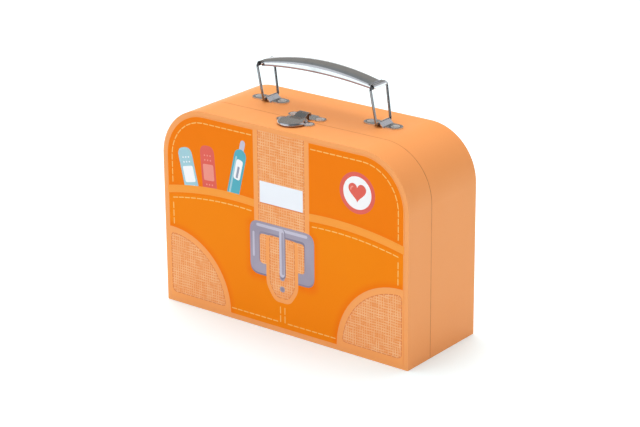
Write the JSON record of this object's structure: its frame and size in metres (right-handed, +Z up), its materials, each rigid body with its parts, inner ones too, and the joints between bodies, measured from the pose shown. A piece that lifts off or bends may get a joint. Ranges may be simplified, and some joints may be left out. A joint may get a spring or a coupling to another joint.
{
  "type": "toy doctor case",
  "caption": "Child's papered-board play case with a hinged front shell, a folding wire handle and a toggle lock on top.",
  "frame": {"origin": "on the floor, under the middle of the case's width and depth", "axes": "+X to the right seen from the front, +Y to the back, +Z up"},
  "size_m": [0.25, 0.093, 0.2173],
  "materials": {
    "wall_paper": "matt coated paper, light orange",
    "back_paper": "matt coated paper, strong orange",
    "printed_paper": "matt coated paper, printed in oranges",
    "lining_paper": "uncoated paper, warm white",
    "neck_board": "board covered with the lining paper",
    "greyboard": "recycled greyboard",
    "bright_plate": "bright nickel-plated pressed steel",
    "bright_wire": "bright nickel-plated wire",
    "rivet_metal": "bright nickel-plated steel",
    "washer_metal": "zinc-plated steel"
  },
  "bodies": {
    "base": {"rear_wall_board": "greyboard", "rear_panel_board": "greyboard", "rear_wall_paper": "wall_paper", "rear_panel_sheet": "back_paper", "rear_bottom_paper": "wall_paper", "rear_lining": "lining_paper", "inner_neck": "neck_board", "left_bracket": "bright_plate", "right_bracket": "bright_plate", "handle_rivets": "rivet_metal", "handle_washers": "washer_metal", "catch_plate": "bright_plate", "catch_rivets": "rivet_metal", "catch_washers": "washer_metal"},
    "lid": {"lid_wall_board": "greyboard", "lid_panel_board": "greyboard", "lid_wall_paper": "wall_paper", "lid_front_sheet": "printed_paper", "lid_bottom_paper": "wall_paper", "lid_lining": "lining_paper", "lock_plate": "bright_plate", "lever_pins": "rivet_metal", "lock_rivets": "rivet_metal", "lock_washers": "washer_metal"},
    "lever": {"lock_lever": "bright_plate", "claw_pin": "rivet_metal"},
    "hook": {"claw": "bright_plate"},
    "left_link": {"left_loop": "bright_wire"},
    "right_link": {"right_loop": "bright_wire"},
    "hand_grip": {"grip": "bright_plate"}
  },
  "joints": [
    {"name": "lid_hinge", "type": "hinge", "parent": "base", "child": "lid", "pos_m": [0, -0.0155, 0], "axis": [1, 0, 0], "range_deg": [0, 178]},
    {"name": "lever_lift", "type": "hinge", "parent": "lid", "child": "lever", "pos_m": [-0.0035, -0.018, 0.1771], "axis": [-1, 0, 0], "range_deg": [0, 80]},
    {"name": "hook_swing", "type": "hinge", "parent": "lever", "child": "hook", "pos_m": [-0.0035, -0.0216, 0.1766], "axis": [1, 0, 0], "range_deg": [0, 90]},
    {"name": "handle_fold", "type": "hinge", "parent": "base", "child": "left_link", "pos_m": [-0.0575, 0.0134, 0.1771], "axis": [0, 1, 0], "range_deg": [-70, 90]},
    {"name": "right_link_fold", "type": "hinge", "parent": "base", "child": "right_link", "pos_m": [0.0575, 0.0134, 0.1771], "axis": [0, 1, 0], "range_deg": [-70, 90]},
    {"name": "grip_level", "type": "hinge", "parent": "left_link", "child": "hand_grip", "pos_m": [-0.06253, 0.0134, 0.20718], "axis": [0, 1, 0], "range_deg": [-90, 70]}
  ],
  "couplings": [
    {"joint": "hook_swing", "follows": "lever_lift", "ratio": 1.125},
    {"joint": "right_link_fold", "follows": "handle_fold", "ratio": 1},
    {"joint": "grip_level", "follows": "handle_fold", "ratio": -1}
  ]
}
